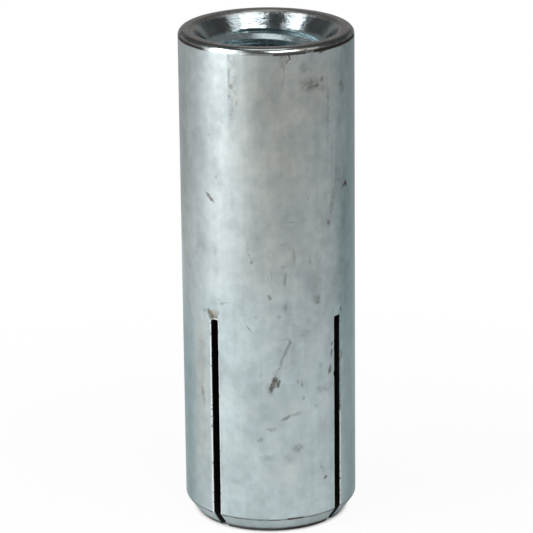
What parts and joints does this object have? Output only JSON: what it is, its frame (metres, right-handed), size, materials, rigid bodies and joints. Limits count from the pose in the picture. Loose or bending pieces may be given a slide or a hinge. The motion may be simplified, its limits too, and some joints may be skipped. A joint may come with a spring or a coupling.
{
  "type": "drop-in anchor",
  "caption": "Slotted, internally threaded steel drop-in anchor shell with its tapered expander plug inside, standing on its slotted toe.",
  "frame": {"origin": "centre of the toe face, the slotted end that the anchor stands on", "axes": "+Z along the anchor's axis towards the threaded mouth; the four slots lie on +X, +Y, -X and -Y"},
  "size_m": [0.022, 0.022, 0.0635],
  "materials": {
    "zinc_plated_shell": "bright zinc plate, slightly blue, handled and smudged",
    "zinc_plated_plug": "turned steel with thin bright zinc plate"
  },
  "bodies": {
    "shell": {"shell": "zinc_plated_shell"},
    "expander_plug": {"expander_plug": "zinc_plated_plug"}
  },
  "joints": [
    {"name": "plug_drive", "type": "slide", "parent": "shell", "child": "expander_plug", "axis": [0, 0, -1], "range_m": [0, 0.0057]}
  ]
}
